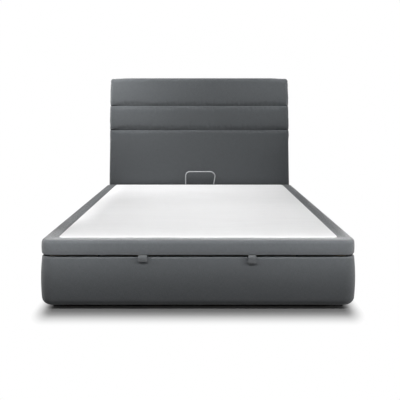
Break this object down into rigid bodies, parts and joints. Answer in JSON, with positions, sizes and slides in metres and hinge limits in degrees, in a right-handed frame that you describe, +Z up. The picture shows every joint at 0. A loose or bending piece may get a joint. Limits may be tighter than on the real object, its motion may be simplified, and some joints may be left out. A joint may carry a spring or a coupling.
{
  "type": "ottoman storage bed",
  "caption": "Upholstered double bed base with a lift-up lid on gas-sprung hinges over a storage box, and a padded channelled headboard.",
  "frame": {"origin": "on the floor, at the middle of the whole bed's outline seen from above", "axes": "+Z up, +Y along the bed from the foot to the headboard, +X across it to the right as seen from the foot"},
  "size_m": [1.513, 2.0136, 1.2],
  "materials": {
    "board": "satin",
    "timber": "matte",
    "plywood": "matte",
    "grey_fabric": "matte",
    "tab_fabric": "matte",
    "white_fabric": "matte",
    "dark_lining": "matte",
    "zinc_steel": "satin",
    "lift_steel": "satin",
    "strut_tube": "satin",
    "strut_rod": "polished",
    "bar_steel": "satin",
    "black_plastic": "matte",
    "bumper_rubber": "matte"
  },
  "bodies": {
    "base": {"base_left_panel": "board", "base_right_panel": "board", "base_foot_panel": "board", "base_head_panel": "board", "base_corner_posts": "timber", "base_corner_bolts": "zinc_steel", "base_cover": "grey_fabric", "floor_cleats": "timber", "floor_centre_rail": "timber", "floor_cross_rails": "timber", "left_floor_board": "plywood", "right_floor_board": "plywood", "base_glides": "black_plastic", "rim_bumpers": "bumper_rubber", "left_base_plate": "lift_steel", "right_base_plate": "lift_steel", "base_plate_bolts": "zinc_steel", "left_base_pivots": "zinc_steel", "right_base_pivots": "zinc_steel", "headboard_left_stile": "timber", "headboard_right_stile": "timber", "headboard_cross_rails": "timber", "headboard_board": "plywood", "headboard_cover": "grey_fabric", "headboard_back_lining": "dark_lining", "headboard_bolts": "zinc_steel", "headboard_glides": "black_plastic"},
    "lid": {"lid_left_rail": "timber", "lid_right_rail": "timber", "lid_foot_rail": "timber", "lid_head_rail": "timber", "lid_cross_battens": "timber", "lid_deck_board": "plywood", "lid_top_pad": "white_fabric", "lid_border": "grey_fabric", "lid_underside_lining": "dark_lining", "mattress_stop_bar": "bar_steel", "stop_bar_sockets": "black_plastic", "left_pull_tab": "tab_fabric", "right_pull_tab": "tab_fabric", "left_lid_bracket": "lift_steel", "right_lid_bracket": "lift_steel", "lid_bracket_bolts": "zinc_steel", "left_lid_pivots": "zinc_steel", "right_lid_pivots": "zinc_steel", "lid_pivot_washers": "black_plastic"},
    "left_arm": {"left_main_arm": "lift_steel", "left_arm_stud": "zinc_steel"},
    "left_link": {"left_control_link": "lift_steel"},
    "left_cylinder": {"left_gas_cylinder": "strut_tube"},
    "left_rod": {"left_gas_rod": "strut_rod"},
    "right_arm": {"right_main_arm": "lift_steel", "right_arm_stud": "zinc_steel"},
    "right_link": {"right_control_link": "lift_steel"},
    "right_cylinder": {"right_gas_cylinder": "strut_tube"},
    "right_rod": {"right_gas_rod": "strut_rod"}
  },
  "joints": [
    {"name": "lid_lift", "type": "hinge", "parent": "left_arm", "child": "lid", "pos_m": [-0.7065, 0.6778, 0.245], "axis": [-1, 0, 0], "range_deg": [0, 88.9]},
    {"name": "left_arm_swing", "type": "hinge", "parent": "base", "child": "left_arm", "pos_m": [-0.7065, 0.4778, 0.233], "axis": [1, 0, 0], "range_deg": [0, 55.9]},
    {"name": "left_link_swing", "type": "hinge", "parent": "base", "child": "left_link", "pos_m": [-0.6965, 0.1828, 0.066], "axis": [1, 0, 0], "range_deg": [0, 34.3]},
    {"name": "left_cylinder_tilt", "type": "hinge", "parent": "base", "child": "left_cylinder", "pos_m": [-0.678, 0.51729, 0.06765], "axis": [1, 0, 0], "range_deg": [0, 27.95]},
    {"name": "left_rod_tilt", "type": "hinge", "parent": "left_arm", "child": "left_rod", "pos_m": [-0.678, 0.6475, 0.24318], "axis": [-1, 0, 0], "range_deg": [0, 27.95]},
    {"name": "right_arm_swing", "type": "hinge", "parent": "base", "child": "right_arm", "pos_m": [0.7065, 0.4778, 0.233], "axis": [1, 0, 0], "range_deg": [0, 55.9]},
    {"name": "right_link_swing", "type": "hinge", "parent": "base", "child": "right_link", "pos_m": [0.6965, 0.1828, 0.066], "axis": [1, 0, 0], "range_deg": [0, 34.3]},
    {"name": "right_cylinder_tilt", "type": "hinge", "parent": "base", "child": "right_cylinder", "pos_m": [0.678, 0.51729, 0.06765], "axis": [1, 0, 0], "range_deg": [0, 27.95]},
    {"name": "right_rod_tilt", "type": "hinge", "parent": "right_arm", "child": "right_rod", "pos_m": [0.678, 0.6475, 0.24318], "axis": [-1, 0, 0], "range_deg": [0, 27.95]}
  ],
  "couplings": [
    {"joint": "left_arm_swing", "follows": "lid_lift", "ratio": 0.62879},
    {"joint": "left_link_swing", "follows": "lid_lift", "ratio": 0.38582},
    {"joint": "left_cylinder_tilt", "follows": "lid_lift", "ratio": 0.31439},
    {"joint": "left_rod_tilt", "follows": "lid_lift", "ratio": 0.31439},
    {"joint": "right_arm_swing", "follows": "lid_lift", "ratio": 0.62879},
    {"joint": "right_link_swing", "follows": "lid_lift", "ratio": 0.38582},
    {"joint": "right_cylinder_tilt", "follows": "lid_lift", "ratio": 0.31439},
    {"joint": "right_rod_tilt", "follows": "lid_lift", "ratio": 0.31439}
  ]
}
